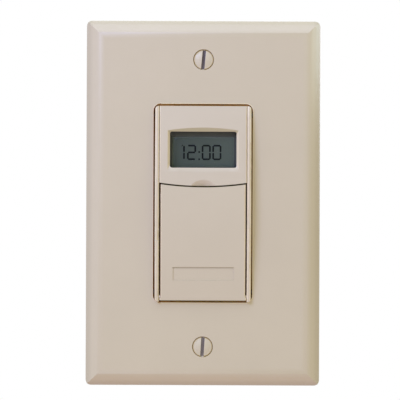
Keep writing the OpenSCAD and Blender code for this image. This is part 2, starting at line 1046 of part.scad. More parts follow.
module rear_housing() {
    in_x = body_w / 2 - body_wall;
    floor_y = body_depth - body_wall;
    guide_low = drawer_z - drawer_h / 2 - slip - guide_wall;
    color("#3f3f42")
        difference() {
            union() {
                difference() {
                    rear_form();
                    slab(-past, floor_y)
                        rect(body_w - 2 * body_wall, body_h - 2 * body_wall, body_corner - body_wall + join);
                }
                // screw posts, ledges under the boards, feet under the drawer's guide
                for (x = [-1, 1], z = [-1, 1])
                    at(x * post_x, z * post_z)
                        rod(post_r, 0, floor_y + join);
                for (s = [0, 1], z = [-14, 16])
                    mirror([s, 0, 0])
                        translate([0, 0, z]) {
                            block([board_x - 1, board_y + board_t, -ledge_w / 2],
                                [in_x + join, floor_y + join, ledge_w / 2]);
                            block([power_x - 1.5, power_back, -ledge_w / 2],
                                [in_x + join, floor_y + join, ledge_w / 2]);
                        }
                for (x = [-foot_x, foot_x])
                    block([x - 1, 1, 0.5 - body_h / 2], [x + 1, floor_y + join, guide_low]);
                // collars around the lead exits
                each_lead()
                    rod(collar_r, floor_y, body_depth + collar_h);
            }
            each_lead()
                rod(lead_r, floor_y - past, body_depth + collar_h + past);
            for (x = [-1, 1], z = [-1, 1])
                at(x * post_x, z * post_z)
                    rod(post_hole_r, -past, housing_screw_l + 0.6);
        }
}

module housing_screw() {
    head = 1.3;
    point = 0.9;
    cross_w = 0.6;
    cross_l = 2.8;
    cross_y = screw_seat - head + 0.8;
    difference() {
        union() {
            rod(housing_head_r, screw_seat - head, screw_seat);
            rod(housing_shank_r, screw_seat - head / 2, housing_screw_l - point);
            rod(housing_shank_r, housing_screw_l - point, housing_screw_l, housing_shank_r - 0.7);
        }
        for (turn = [0, 90])
            rotate([0, turn, 0])
                block([-cross_l / 2, cross_y - head - past, -cross_w / 2],
                    [cross_l / 2, cross_y, cross_w / 2]);
    }
}

module housing_screws() {
    color("#b9bcc0")
        for (x = [-1, 1], z = [-1, 1])
            at(x * post_x, z * post_z)
                housing_screw();
}

wall_plate();
plate_screws();
mounting_strap();
box_screws();
front_housing();
door();
on_off_bar();
mode_button();
minus_button();
plus_button();
reset_button();
display_lens();
lcd_polarizer();
lcd_front_glass();
lcd_rear_glass();
lcd_reflector();
lcd_holder();
rubber_strips();
switch_bodies();
on_off_plunger();
mode_plunger();
minus_plunger();
plus_plunger();
reset_plunger();
battery_drawer();
coin_cell();
drawer_guide();
positive_contact();
negative_contact();
display_board();
controller_chip();
clock_crystal();
power_board();
board_link();
relay();
film_capacitor();
can_capacitor();
varistor();
rectifier();
fuse();
lead_terminals();
rear_housing();
housing_screws();
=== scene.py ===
"""Finishes, rounded edges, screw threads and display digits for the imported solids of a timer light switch."""
import json
import math

import bmesh
import bpy
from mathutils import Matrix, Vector


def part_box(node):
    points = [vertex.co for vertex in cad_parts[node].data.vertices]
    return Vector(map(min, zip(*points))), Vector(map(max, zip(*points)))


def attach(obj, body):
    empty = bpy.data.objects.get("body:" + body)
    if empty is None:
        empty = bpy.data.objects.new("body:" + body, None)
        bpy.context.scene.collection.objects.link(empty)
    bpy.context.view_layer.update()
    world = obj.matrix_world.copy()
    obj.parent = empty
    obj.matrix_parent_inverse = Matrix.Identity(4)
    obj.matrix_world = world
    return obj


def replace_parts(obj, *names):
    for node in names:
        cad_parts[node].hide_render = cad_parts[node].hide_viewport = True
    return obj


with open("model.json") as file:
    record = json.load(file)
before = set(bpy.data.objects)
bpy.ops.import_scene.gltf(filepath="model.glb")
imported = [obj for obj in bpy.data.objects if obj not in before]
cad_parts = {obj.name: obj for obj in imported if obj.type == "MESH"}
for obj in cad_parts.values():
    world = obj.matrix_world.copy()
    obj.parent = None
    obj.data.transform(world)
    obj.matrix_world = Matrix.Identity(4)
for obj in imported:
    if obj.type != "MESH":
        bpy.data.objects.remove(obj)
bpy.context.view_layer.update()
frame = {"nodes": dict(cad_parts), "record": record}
nodes = frame["nodes"]
scene = bpy.context.scene
scene.view_settings.view_transform = "Standard"

MM = 0.001
plate_low, plate_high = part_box("wall_plate")
film_low, film_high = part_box("lcd_polarizer")
bodies = frame["record"]["behaviour"]["bodies"]
node_body = {node: body for body, members in bodies.items() for node in members}

# The photograph's line of sight: lens to plate face, width taken in there, aim on that face, and roll
VIEW_DISTANCE = 490 * MM
VIEW_WIDTH = 134.9 * MM
VIEW_AIM = Vector((-1.02, 0, 1.08)) * MM
VIEW_ROLL = math.radians(-0.23)
SENSOR = 36
NEAREST = 10 * MM


def make_camera():
    """The camera that the photograph was taken with, as far as it can be told."""
    data = bpy.data.cameras.new("camera")
    data.sensor_width = SENSOR
    data.lens = SENSOR * VIEW_DISTANCE / VIEW_WIDTH
    data.clip_start = NEAREST
    camera = bpy.data.objects.new("camera", data)
    camera.location = VIEW_AIM + Vector((0, plate_low.y - VIEW_DISTANCE, 0))
    camera.rotation_euler = (math.pi / 2, VIEW_ROLL, 0)
    scene.collection.objects.link(camera)
    scene.camera = camera


make_camera()


# Node trees

FIRST_COLOUR, SECOND_COLOUR, MIXED_COLOUR = 6, 7, 2


def add(tree, kind, sockets=None, **settings):
    """A new node. A value for a socket is set there, and another node's output is linked to it."""
    node = tree.nodes.new(kind)
    for name, value in settings.items():
        setattr(node, name, value)
    for name, value in (sockets or {}).items():
        if isinstance(value, bpy.types.NodeSocket):
            tree.links.new(value, node.inputs[name])
        else:
            node.inputs[name].default_value = value
    return node


def new_material(name, sockets):
    """A material with one Principled shader, its tree, the shader and the object coordinates."""
    material = bpy.data.materials.new(name)
    material.use_nodes = True
    tree = material.node_tree
    shader = next(n for n in tree.nodes if n.type == "BSDF_PRINCIPLED")
    for socket, value in sockets.items():
        shader.inputs[socket].default_value = value
    place = add(tree, "ShaderNodeTexCoord").outputs["Object"]
    return material, tree, shader, place


def mixed_surface(tree, factor, near, far):
    """Shows one shader where a factor is 0 and another where it is 1."""
    mix = add(tree, "ShaderNodeMixShader", {0: factor, 1: near.outputs[0], 2: far.outputs[0]})
    output = next(n for n in tree.nodes if n.type == "OUTPUT_MATERIAL")
    tree.links.new(mix.outputs[0], output.inputs["Surface"])


def srgb(red, green, blue):
    """A colour as seen on a screen, from 0 to 255, as the linear colour that shaders take."""
    channels = [c / 255 for c in (red, green, blue)]
    return [c / 12.92 if c <= 0.04045 else ((c + 0.055) / 1.055) ** 2.4 for c in channels] + [1]


def shade(colour, share):
    """A colour made darker or lighter by a share."""
    return [c * share for c in colour[:3]] + [1]


def number(tree, operation, first, second=0.0):
    """One step of arithmetic or comparison on numbers."""
    return add(tree, "ShaderNodeMath", {0: first, 1: second}, operation=operation).outputs[0]


def axes(tree, place):
    """A place's coordinates, by the names of their axes."""
    return add(tree, "ShaderNodeSeparateXYZ", {0: place}).outputs


def length(tree, place):
    """How far a place lies from the origin."""
    return add(tree, "ShaderNodeVectorMath", {0: place}, operation="LENGTH").outputs["Value"]


def ramp(tree, value, start, end, low=0.0, high=1.0):
    """A number that goes from low to high as a value goes from start to end, and stays there beyond."""
    sockets = {"Value": value, "From Min": start, "From Max": end, "To Min": low, "To Max": high}
    return add(tree, "ShaderNodeMapRange", sockets).outputs["Result"]


def noise(tree, place, size, detail=2.0):
    """Noise whose blotches are about that many metres across, from 0 to 1."""
    found = add(tree, "ShaderNodeTexNoise", {"Vector": place, "Scale": 1 / size, "Detail": detail})
    return found.outputs["Fac"]


def around(tree, factor, middle, less, more):
    """A number that wanders about a middle as a noise goes from 0.25 to 0.75."""
    return ramp(tree, factor, 0.25, 0.75, middle - less, middle + more)


def tint(tree, factor, low, high):
    """A colour that goes from low to high as a factor goes from 0 to 1."""
    sockets = {"Factor": factor, FIRST_COLOUR: low, SECOND_COLOUR: high}
    mix = add(tree, "ShaderNodeMix", sockets, data_type="RGBA")
    return mix.outputs[MIXED_COLOUR]


def grain(tree, shader, height, depth, strength):
    """Relief of a real depth in metres on a shader's surface."""
    bump = add(tree, "ShaderNodeBump", {"Height": height, "Distance": depth, "Strength": strength})
    tree.links.new(bump.outputs["Normal"], shader.inputs["Normal"])


# Places on the solids that have their own finish, in the shared frame

OPENING_W = 33.4 * MM
OPENING_H = 67 * MM
OPENING_R = 2.4 * MM
OPENING_HIGHLIGHT = 0.3 * MM
WALL_SLACK = 0.1 * MM
SEAM_LINE = 0.12 * MM
RIM_SHADE = 2.4 * MM
SCREW_HEIGHT = 48.42 * MM
SCREW_SEAT = 3.8 * MM
HEAD_SHADE = 2.95 * MM
HEAD_EDGE = 3.2 * MM
FLANGE_FRONT = -3.2 * MM
FLANGE_SLACK = 0.05 * MM
FACE_SIDE = 16 * MM
FACE_END = 31.5 * MM
POCKET_FLOOR = -5 * MM
POCKET_SHADE = 14.0 * MM
POCKET_EDGE = 14.5 * MM
POCKET_SIDE = 14.75 * MM
POCKET_SLACK = 0.15 * MM
POCKET_TOP = 8 * MM
WINDOW_SIDE = 10.5 * MM
BROW_SIDE = 12 * MM
BROW_LOW = 20 * MM
BROW_HIGH = 28 * MM
DOOR_SIDE = 13.6 * MM
DOOR_TOP = 4.2 * MM
BADGE_W = 20.5 * MM
BADGE_TOP = -21.45 * MM
BADGE_SHADE = 0.3 * MM
BADGE_FADE = 0.7 * MM
# Painted light on the film's left side, where the bezel's shadow falls: full at the first, gone at the second
FILM_PALE = -10.9 * MM
FILM_EVEN = -9.2 * MM

# How much of a face's normal lies along an axis
SLIGHT = 0.2
LEANING = 0.25
MITRED = 0.4
STEEP = 0.7
SQUARE = 0.9
FLAT = 0.97


# Painted shade and highlight: each is 1 where it is painted, and 0 elsewhere

def rim_painted_shade(tree, place):
    """Painted shade on the plate's side and lower rims, fading out further in."""
    here = axes(tree, place)
    side = number(tree, "ABSOLUTE", here["X"])
    low = number(tree, "SUBTRACT", plate_high.x - plate_high.z, here["Z"])
    outward = number(tree, "MAXIMUM", side, low)
    return ramp(tree, outward, plate_high.x - RIM_SHADE, plate_high.x)


def beside_opening(tree, place, reach):
    """All that lies within a reach of the edge of the plate's opening."""
    here = axes(tree, place)
    past = {}
    for axis, size in (("X", OPENING_W), ("Z", OPENING_H)):
        away = number(tree, "ABSOLUTE", here[axis])
        past[axis] = number(tree, "MAXIMUM", number(tree, "SUBTRACT", away, size / 2 - OPENING_R))
    corner = add(tree, "ShaderNodeCombineXYZ", past).outputs[0]
    return number(tree, "LESS_THAN", length(tree, corner), OPENING_R + reach)


def opening_painted_highlight(tree, place):
    """A painted highlight along the edge of the plate's opening."""
    return beside_opening(tree, place, OPENING_HIGHLIGHT)


def seam_painted_shade(tree, place):
    """Painted shade in a thin line along the left of that edge."""
    left = number(tree, "LESS_THAN", axes(tree, place)["X"], OPENING_R - OPENING_W / 2)
    return number(tree, "MULTIPLY", left, beside_opening(tree, place, SEAM_LINE))


def pocket_painted_shade(tree, place):
    """Painted shade on the floor of the door's pocket along its two sides."""
    here = axes(tree, place)
    near = ramp(tree, number(tree, "ABSOLUTE", here["X"]), POCKET_SHADE, POCKET_EDGE)
    deep = number(tree, "GREATER_THAN", here["Y"], POCKET_FLOOR)
    return number(tree, "MULTIPLY", near, deep)


def badge_painted_shade(tree, place):
    """Painted shade in the strip under the upper edge of the door's bare badge recess."""
    here = axes(tree, place)
    inside = number(tree, "LESS_THAN", number(tree, "ABSOLUTE", here["X"]), BADGE_W / 2)
    below = number(tree, "LESS_THAN", here["Z"], BADGE_TOP)
    near = ramp(tree, here["Z"], BADGE_TOP - BADGE_FADE, BADGE_TOP - BADGE_SHADE)
    return number(tree, "MULTIPLY", inside, number(tree, "MULTIPLY", below, near))


def head_painted_shade(tree, place):
    """Painted shade at the edge of a plate screw's head."""
    here = axes(tree, place)
    off = number(tree, "SUBTRACT", number(tree, "ABSOLUTE", here["Z"]), SCREW_HEIGHT)
    flat = add(tree, "ShaderNodeCombineXYZ", {"X": here["X"], "Z": off}).outputs[0]
    return ramp(tree, length(tree, flat), HEAD_SHADE, HEAD_EDGE)


# Finishes

SEEN = 0.5    # fewer diffuse bounces than this: what the eye sees or mirrors


def moulded_plastic(
        name, colour, rough, grain_size=0.12 * MM, grain_depth=0.004 * MM, spread=0.03, painted_light=(), gloss=0.5):
    """Moulded plastic: faint flow mottling in the colour, uneven gloss, a fine tool grain, and painted
    shade and highlights, each a place and a colour."""
    material, tree, shader, place = new_material(name, {"Specular IOR Level": gloss})
    flow = noise(tree, place, 14 * MM, 3)
    blend = tint(tree, flow, shade(colour, 1 - spread), shade(colour, 1 + spread))
    for where, colour_there in painted_light:
        blend = tint(tree, where(tree, place), blend, colour_there)
    tree.links.new(blend, shader.inputs["Base Color"])
    sheen = noise(tree, place, 2.5 * MM)
    tree.links.new(around(tree, sheen, rough, 0.04, 0.04), shader.inputs["Roughness"])
    grain(tree, shader, noise(tree, place, grain_size), grain_depth, 0.6)
    return material


def matt_painted_seam(name, colour):
    """Matt plastic for painted shade and painted warm light in the seams."""
    return moulded_plastic(name, colour, 0.8, gloss=0.05)


def enamel(name, colour, rough, edge_shade):
    """Paint on a metal head: a slight orange peel under a clear gloss, and painted shade at its edge."""
    material, tree, shader, place = new_material(name, {"Coat Weight": 0.12, "Coat Roughness": 0.3})
    flow = noise(tree, place, 1.2 * MM)
    clean = tint(tree, flow, shade(colour, 0.97), shade(colour, 1.03))
    tree.links.new(tint(tree, head_painted_shade(tree, place), clean, edge_shade), shader.inputs["Base Color"])
    tree.links.new(around(tree, flow, rough, 0.05, 0.05), shader.inputs["Roughness"])
    grain(tree, shader, noise(tree, place, 0.5 * MM), 0.008 * MM, 0.5)
    return material


def metal(name, colour, rough, spangle=1.6 * MM):
    """Plated or rolled metal: cloudy plating, uneven gloss and fine drawing lines."""
    material, tree, shader, place = new_material(name, {"Metallic": 1.0})
    cloud = noise(tree, place, spangle, 4)
    tree.links.new(tint(tree, cloud, shade(colour, 0.86), shade(colour, 1.04)), shader.inputs["Base Color"])
    lines = add(tree, "ShaderNodeMapping", {"Vector": place, "Scale": (1, 1, 0.06)}).outputs["Vector"]
    streak = noise(tree, lines, 0.25 * MM, 3)
    tree.links.new(around(tree, streak, rough, 0.08, 0.1), shader.inputs["Roughness"])
    grain(tree, shader, streak, 0.004 * MM, 0.4)
    return material


def clear_plastic(name):
    """Clear moulded lens with an anti-glare face, that lets lamplight through to what lies behind it."""
    material, tree, shader, place = new_material(name, {
        "Base Color": (0.97, 0.98, 0.98, 1), "Transmission Weight": 1.0, "IOR": 1.35,
        "Specular Tint": (0.2, 0.2, 0.2, 1),
    })
    haze = noise(tree, place, 3 * MM)
    tree.links.new(around(tree, haze, 0.01, 0.01, 0.01), shader.inputs["Roughness"])
    passing = add(tree, "ShaderNodeBsdfTransparent", {"Color": (0.94, 0.95, 0.95, 1)})
    path = add(tree, "ShaderNodeLightPath").outputs
    unseen = number(tree, "GREATER_THAN", path["Diffuse Depth"], SEEN)
    lamplight = number(tree, "MAXIMUM", path["Is Shadow Ray"], unseen)
    mixed_surface(tree, lamplight, shader, passing)
    return material


def display_film(name, colour, rough, spread, lean=0.0, pale=None):
    """Glass or film of the display: a smooth face with a faint cloud in its grey, which may grow lighter to
    the right as a painted reflection, and have a pale left side of painted light."""
    material, tree, shader, place = new_material(name, {"Specular IOR Level": 0.2})
    cloud = noise(tree, place, 9 * MM, 1)
    left = tint(tree, cloud, shade(colour, 1 - spread - lean), shade(colour, 1 + spread - lean))
    right = tint(tree, cloud, shade(colour, 1 - spread + lean), shade(colour, 1 + spread + lean))
    across = axes(tree, place)["X"]
    grey = tint(tree, ramp(tree, across, film_low.x, film_high.x), left, right)
    if pale:
        grey = tint(tree, ramp(tree, across, FILM_EVEN, FILM_PALE), grey, pale)
    tree.links.new(grey, shader.inputs["Base Color"])
    fine = noise(tree, place, 0.4 * MM)
    tree.links.new(around(tree, fine, rough, 0.05, 0.05), shader.inputs["Roughness"])
    return material


def board_laminate(name):
    """Circuit board: green mask over copper tracks on a woven base."""
    material, tree, shader, place = new_material(name, {"Coat Weight": 0.3, "Coat Roughness": 0.25})
    upright = add(tree, "ShaderNodeMapping", {"Vector": place, "Rotation": (math.pi / 2, 0, 0)})
    tracks = add(tree, "ShaderNodeTexBrick", {
        "Vector": upright.outputs["Vector"], "Scale": 160, "Mortar Size": 0.012, "Brick Width": 0.9,
        "Row Height": 0.22, "Color1": srgb(30, 92, 52), "Color2": srgb(36, 102, 58),
        "Mortar": srgb(58, 128, 74),
    })
    cloud = noise(tree, place, 6 * MM)
    dark = tint(tree, cloud, tracks.outputs["Color"], srgb(27, 84, 50))
    tree.links.new(dark, shader.inputs["Base Color"])
    tree.links.new(around(tree, cloud, 0.375, 0.075, 0.075), shader.inputs["Roughness"])
    grain(tree, shader, tracks.outputs["Fac"], 0.03 * MM, 0.5)
    return material


def layered_rubber(name):
    """Strip of thin conducting and insulating layers."""
    material, tree, shader, place = new_material(name, {"Roughness": 0.7})
    waves = add(tree, "ShaderNodeTexWave", {"Vector": place, "Scale": 1 / (1.2 * MM), "Distortion": 0.2})
    layers = waves.outputs["Fac"]
    tree.links.new(tint(tree, layers, srgb(38, 38, 40), srgb(196, 188, 178)), shader.inputs["Base Color"])
    grain(tree, shader, layers, 0.01 * MM, 0.4)
    return material


def banded_ceramic(name):
    """Fuse body with coloured bands round it."""
    material, tree, shader, place = new_material(name, {})
    bands = add(tree, "ShaderNodeTexWave", {"Vector": place, "Scale": 1 / (7 * MM), "Distortion": 0.0})
    ink = number(tree, "GREATER_THAN", bands.outputs["Fac"], 0.93)
    tree.links.new(tint(tree, ink, srgb(188, 168, 138), srgb(96, 60, 44)), shader.inputs["Base Color"])
    tree.links.new(around(tree, noise(tree, place, 0.6 * MM), 0.5, 0.1, 0.1), shader.inputs["Roughness"])
    return material


ALMOND = srgb(205, 193, 180)
DOOR = srgb(205, 193, 181)
# Painted shade on the plate's rims and in its opening's left seam, and a painted highlight round the opening
plate_painted_light = (
    (rim_painted_shade, shade(ALMOND, 0.82)),
    (opening_painted_highlight, srgb(225, 210, 191)),
    (seam_painted_shade, srgb(140, 88, 48)),
)
# Painted shade on the floor of the door's pocket and under the badge recess's top edge
face_painted_light = ((pocket_painted_shade, srgb(134, 84, 46)),)
door_painted_light = ((badge_painted_shade, shade(DOOR, 0.8)),)
finishes = {
    "plate_plastic": moulded_plastic("plate_plastic", ALMOND, 0.36, painted_light=plate_painted_light),
    "face_plastic": moulded_plastic("face_plastic", srgb(206, 194, 184), 0.4, painted_light=face_painted_light),
    "door_plastic": moulded_plastic("door_plastic", DOOR, 0.4, painted_light=door_painted_light),
    "key_plastic": moulded_plastic("key_plastic", srgb(226, 219, 208), 0.42),
    "grey_plastic": moulded_plastic("grey_plastic", srgb(140, 137, 133), 0.5),
    "white_plastic": moulded_plastic("white_plastic", srgb(232, 230, 224), 0.5),
    "black_plastic": moulded_plastic("black_plastic", srgb(48, 48, 50), 0.5, 0.35 * MM, 0.02 * MM, 0.08),
    "blue_plastic": moulded_plastic("blue_plastic", srgb(46, 92, 142), 0.4),
    "yellow_plastic": moulded_plastic("yellow_plastic", srgb(202, 168, 62), 0.35),
    "can_sleeve": moulded_plastic("can_sleeve", srgb(40, 46, 58), 0.3),
    "plunger_plastic": moulded_plastic("plunger_plastic", srgb(200, 182, 154), 0.45),
    # The screw paint's last colour is painted shade at the head's edge
    "screw_paint": enamel("screw_paint", srgb(206, 195, 182), 0.46, srgb(178, 153, 104)),
    "zinc_steel": metal("zinc_steel", srgb(178, 179, 181), 0.38),
    "cell_steel": metal("cell_steel", srgb(212, 213, 215), 0.25),
    "terminal_tin": metal("terminal_tin", srgb(206, 207, 208), 0.3),
    "contact_brass": metal("contact_brass", srgb(206, 172, 92), 0.28),
    "reflector_foil": metal("reflector_foil", srgb(178, 184, 180), 0.45),
    "clear_lens": clear_plastic("clear_lens"),
    # The polarizer is painted lighter to the right as a reflection, and lighter on its left as painted light
    "polarizer_film": display_film("polarizer_film", srgb(83, 91, 88), 0.45, 0.06, 0.15, srgb(96, 108, 114)),
    "lcd_glass": display_film("lcd_glass", srgb(90, 92, 95), 0.2, 0.05),
    "strip_rubber": layered_rubber("strip_rubber"),
    "board_laminate": board_laminate("board_laminate"),
    "fuse_body": banded_ceramic("fuse_body"),
}
lcd_ink = display_film("lcd_ink", srgb(9, 12, 12), 0.5, 0.15)
# The film's cut edge is pale, and brighter still as a painted highlight
film_edge = display_film("film_edge", srgb(128, 138, 136), 0.4, 0.05)
slot_metal = metal("slot_metal", srgb(162, 151, 151), 0.45)
sign_paint = moulded_plastic("sign_paint", srgb(92, 88, 84), 0.5)
# Painted highlight for edges, and painted shade and painted warm light for recesses and seams
bright_edge = moulded_plastic("bright_edge", srgb(226, 211, 193), 0.34)
screw_shade = moulded_plastic("screw_shade", srgb(196, 164, 96), 0.5)
brow_shade = moulded_plastic("brow_shade", srgb(196, 187, 164), 0.45)
warm_seam = matt_painted_seam("warm_seam", srgb(246, 194, 130))
wall_shade = matt_painted_seam("wall_shade", srgb(210, 160, 112))
end_shade = matt_painted_seam("end_shade", srgb(234, 190, 134))
pocket_seam = matt_painted_seam("pocket_seam", srgb(204, 186, 166))
dark_seam = matt_painted_seam("dark_seam", srgb(188, 122, 62))
deep_seam = matt_painted_seam("deep_seam", srgb(124, 90, 64))
node_slot = {node: obj.material_slots[0].material.name.split(".")[0] for node, obj in nodes.items()}
for node, obj in nodes.items():
    obj.data.materials[0] = finishes[node_slot[node]]


# Meshes

SAME_POINT = 0.0005 * MM
SAME_PLANE = math.radians(0.1)
SAME_AXIS = 0.99999
SHARP = math.radians(28)


def show(name, mesh, body):
    """A finished mesh as a piece that rides on a body."""
    piece = bpy.data.objects.new(name, mesh)
    scene.collection.objects.link(piece)
    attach(piece, body)
    return piece


def stand_in(prefix, node, mesh):
    """Shows a finished mesh in place of its node."""
    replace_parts(show(prefix + node, mesh, node_body[node]), node)


def evaluated(mesh, add_modifiers):
    """A mesh after modifiers, with none left on it."""
    holder = bpy.data.objects.new("holder", mesh)
    scene.collection.objects.link(holder)
    add_modifiers(holder)
    graph = bpy.context.evaluated_depsgraph_get()
    made = bpy.data.meshes.new_from_object(holder.evaluated_get(graph), depsgraph=graph)
    bpy.data.objects.remove(holder)
    return made


def merged(node):
    """A node's solids as one mesh of joined faces. The front housing's flat faces have many holes, so they
    are split."""
    work = bmesh.new()
    work.from_mesh(nodes[node].data)
    bmesh.ops.remove_doubles(work, verts=work.verts, dist=SAME_POINT)
    bmesh.ops.dissolve_limit(work, angle_limit=SAME_PLANE, verts=work.verts, edges=work.edges)
    if node == "front_housing":
        square = [face for face in work.faces if max(abs(part) for part in face.normal) > SAME_AXIS]
        bmesh.ops.connect_verts_concave(work, faces=square)
    mesh = bpy.data.meshes.new(node + "_mesh")
    work.to_mesh(mesh)
    work.free()
    mesh.materials.append(finishes[node_slot[node]])
    return mesh


def rounded(mesh, width):
    """The mesh with its sharp edges rounded, up to a width, and flat faces left flat."""
    def modifiers(holder):
        bevel = holder.modifiers.new("edges", "BEVEL")
        bevel.width = width
        bevel.segments = 2
        bevel.limit_method = "ANGLE"
        bevel.angle_limit = SHARP
        bevel.miter_outer = "MITER_ARC"
        normals = holder.modifiers.new("normals", "WEIGHTED_NORMAL")
        normals.weight = 60
    mesh.shade_smooth()
    return evaluated(mesh, modifiers)


def paint_faces(mesh, material, chosen):
    """Gives one more material to the faces that a test picks by middle and normal."""
    mesh.materials.append(material)
    for face in mesh.polygons:
        if chosen(face.center, face.normal):
            face.material_index = len(mesh.materials) - 1


def in_opening(middle, reach):
    """Within a reach of the plate's opening."""
    return abs(middle.x) < OPENING_W / 2 + reach and abs(middle.z) < OPENING_H / 2 + reach


def opening_rim(middle, normal):
    """The rounded edge of the plate's opening, which gets a painted highlight."""
    return -FLAT < normal.y < -SLIGHT and in_opening(middle, OPENING_HIGHLIGHT)


def opening_wall(middle, normal):
    """The plate's wall round the switch's face, painted with the seam's shade and warm light."""
    return abs(normal.y) < LEANING and in_opening(middle, WALL_SLACK)


def opening_end(middle, normal):
    """The upper and lower parts of that wall, painted lighter as the seam's warm light."""
    return abs(normal.z) > SQUARE and opening_wall(middle, normal)


def opening_left(middle, normal):
    """Its left part, painted with the darkest shade."""
    return normal.x > SQUARE and opening_wall(middle, normal)


def screw_seat(middle, normal):
    """The wall of a screw's recess in the plate, painted with its shade."""
    off = abs(middle.z) - SCREW_HEIGHT
    return abs(normal.y) < MITRED and abs(middle.x) < SCREW_SEAT and abs(off) < SCREW_SEAT


def flange_face(middle, normal):
    """The front housing's flange, at the bottom of the seam between face and plate, painted with the
    seam's warm light.
    """
    return normal.y < -SQUARE and abs(middle.y - FLANGE_FRONT) < FLANGE_SLACK


def flange_left(middle, normal):
    """The left part of that flange, painted as dark as the wall beside it."""
    return middle.x < -FACE_SIDE and flange_face(middle, normal)


def pocket_wall(middle, normal):
    """The sides of the pocket that the door lies in, painted with their shade."""
    at_side = abs(abs(middle.x) - POCKET_SIDE) < POCKET_SLACK
    return abs(normal.x) > SQUARE and at_side and middle.z < POCKET_TOP


def window_brow(middle, normal):
    """The sloped top side of the display's recess, painted with its shade."""
    there = BROW_LOW < middle.z < BROW_HIGH and abs(middle.x) < BROW_SIDE
    return there and normal.z < -MITRED and normal.y < -LEANING


def highlight_edge(middle, normal):
    """Rounded edges of rails and bezel, and the window's sloped sides, which get a painted highlight."""
    end = abs(normal.z) > SLIGHT and abs(middle.z) > FACE_END
    side = abs(normal.x) > SLIGHT and abs(middle.x) > WINDOW_SIDE
    return normal.y < -LEANING and (end or side)


def door_edge(middle, normal):
    """The door's rounded sides and top, which get a painted highlight."""
    outer = abs(middle.x) > DOOR_SIDE or middle.z > DOOR_TOP
    return outer and normal.y < -LEANING and (abs(normal.x) > SLIGHT or normal.z > SLIGHT)


def door_seam(middle, normal):
    """The door's steep left edge, painted dark as the shade of the gap along the rail."""
    return middle.x < -DOOR_SIDE and normal.x < -STEEP and -STEEP < normal.y < -SLIGHT


# Faces that get painted shade, painted warm light in the seams, or a painted highlight
PAINTED = {
    "wall_plate": (
        (wall_shade, opening_wall), (end_shade, opening_end), (dark_seam, opening_left),
        (screw_shade, screw_seat)),
    "front_housing": (
        (warm_seam, flange_face), (dark_seam, flange_left), (pocket_seam, pocket_wall),
        (brow_shade, window_brow), (bright_edge, highlight_edge)),
    "door": ((bright_edge, door_edge), (deep_seam, door_seam)),
}
EDGE_ROUNDS = {
    "wall_plate": 0.22 * MM,
    "front_housing": 0.12 * MM,
    "door": 0.15 * MM,
    "on_off_bar": 0.35 * MM,
    "mode_button": 0.35 * MM,
    "reset_button": 0.15 * MM,
    "mounting_strap": 0.15 * MM,
    "rear_housing": 0.4 * MM,
    "battery_drawer": 0.15 * MM,
}
FILM_ROUND = 0.09 * MM


def soften(node, width):
    """A node with rounded edges and its painted places."""
    mesh = merged(node)
    for material, chosen in PAINTED.get(node, ()):
        paint_faces(mesh, material, chosen)
    mesh = rounded(mesh, width)
    if node == "wall_plate":
        # The rounded rim of the opening gets a painted highlight
        paint_faces(mesh, bright_edge, opening_rim)
    stand_in("soft_", node, mesh)


def edged_film():
    """The display's film, with the pale line of its cut and rounded edge, made brighter as a painted highlight.
    """
    mesh = rounded(merged("lcd_polarizer"), FILM_ROUND)
    paint_faces(mesh, film_edge, lambda middle, normal: abs(normal.y) < FLAT)
    stand_in("soft_", "lcd_polarizer", mesh)


for node, width in EDGE_ROUNDS.items():
    soften(node, width)
edged_film()


# Buttons with painted signs

SIGN_ROUND = 0.12 * MM
SIGN_NEAR = 0.1 * MM
SIGN_DEEP = 0.3 * MM


def signed_button(node):
    """A button with paint in its sunk sign."""
    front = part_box(node)[0].y
    mesh = merged(node)
    paint_faces(mesh, sign_paint, lambda middle, normal: (
        normal.y < -SQUARE and SIGN_NEAR < middle.y - front < SIGN_DEEP))
    stand_in("soft_", node, rounded(mesh, SIGN_ROUND))


for node in ("minus_button", "plus_button"):
    signed_button(node)


# Screws with threads

THREAD_PITCH = 0.79 * MM
RIDGE = 0.3 * MM
CORE_CUT = 1.4 * RIDGE
SHANK_SLACK = 0.1 * MM
SLOT_SIDE = 0.9 * MM
SLOT_FLOOR = 0.9 * MM
SLOT_DEEPEST = 2 * MM


def socket_in(tree, name, kind, value):
    """A named input of a node group, and the value it starts with."""
    socket = tree.interface.new_socket(name, in_out="INPUT", socket_type=kind)
    if value is not None:
        socket.default_value = value


